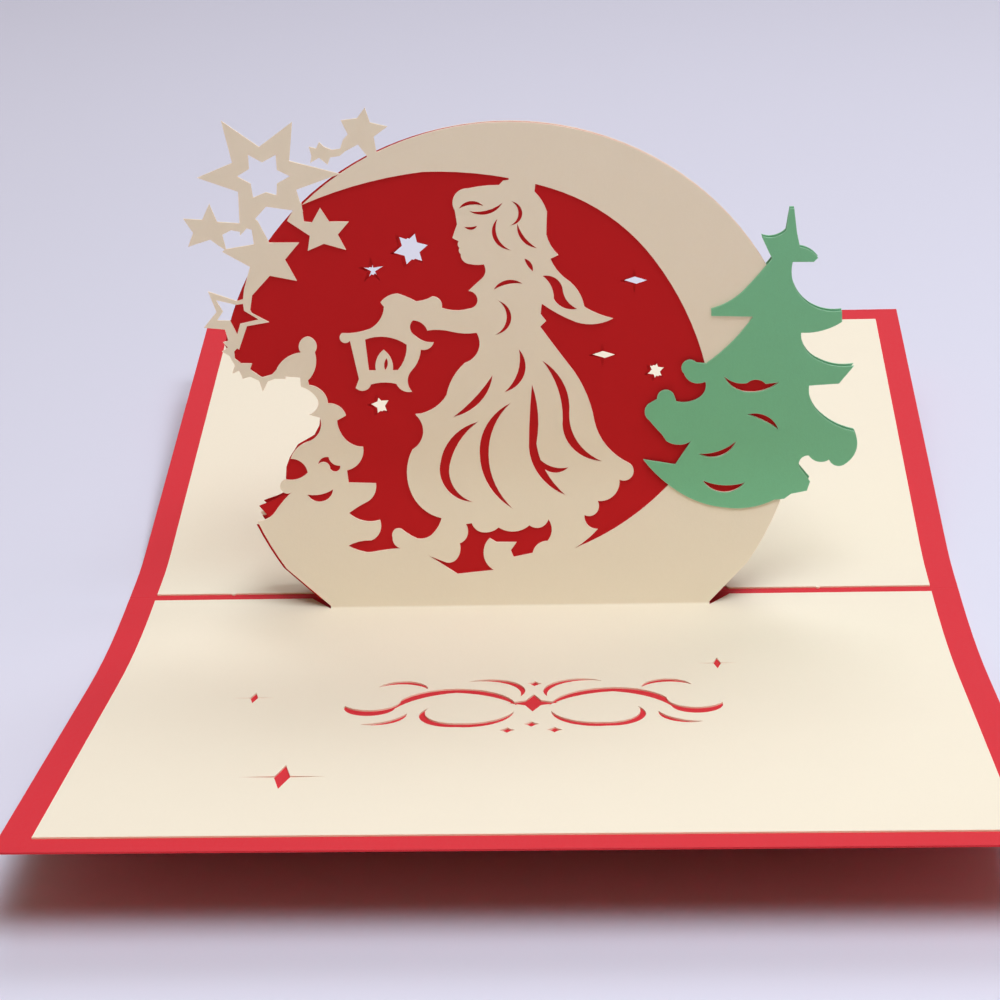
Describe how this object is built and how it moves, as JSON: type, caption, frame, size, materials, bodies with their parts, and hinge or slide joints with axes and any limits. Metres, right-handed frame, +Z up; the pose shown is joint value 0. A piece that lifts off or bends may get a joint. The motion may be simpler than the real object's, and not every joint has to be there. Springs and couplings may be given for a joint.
{
  "type": "pop up card",
  "caption": "Folded red card opened to a shallow V, with cream liners and a standing die-cut moon scene of a girl with a lantern, trees and stars",
  "frame": {"origin": "on the resting face, under the middle of the spine", "axes": "X along the spine, +Y from the front page to the back page, +Z up"},
  "size_m": [0.2, 0.2974, 0.1211],
  "materials": {
    "red_card": "matte, slightly bright red card",
    "cream_paper": "matte cream card with a fine fibre grain",
    "dark_red_paper": "matte deep red card",
    "green_paper": "matte mid green card"
  },
  "bodies": {
    "root": {"cover": "red_card", "front_leaf": "cream_paper", "back_leaf": "cream_paper", "front_disc": "dark_red_paper", "back_disc": "dark_red_paper", "front_tree": "green_paper", "rear_tree": "green_paper"}
  },
  "joints": []
}
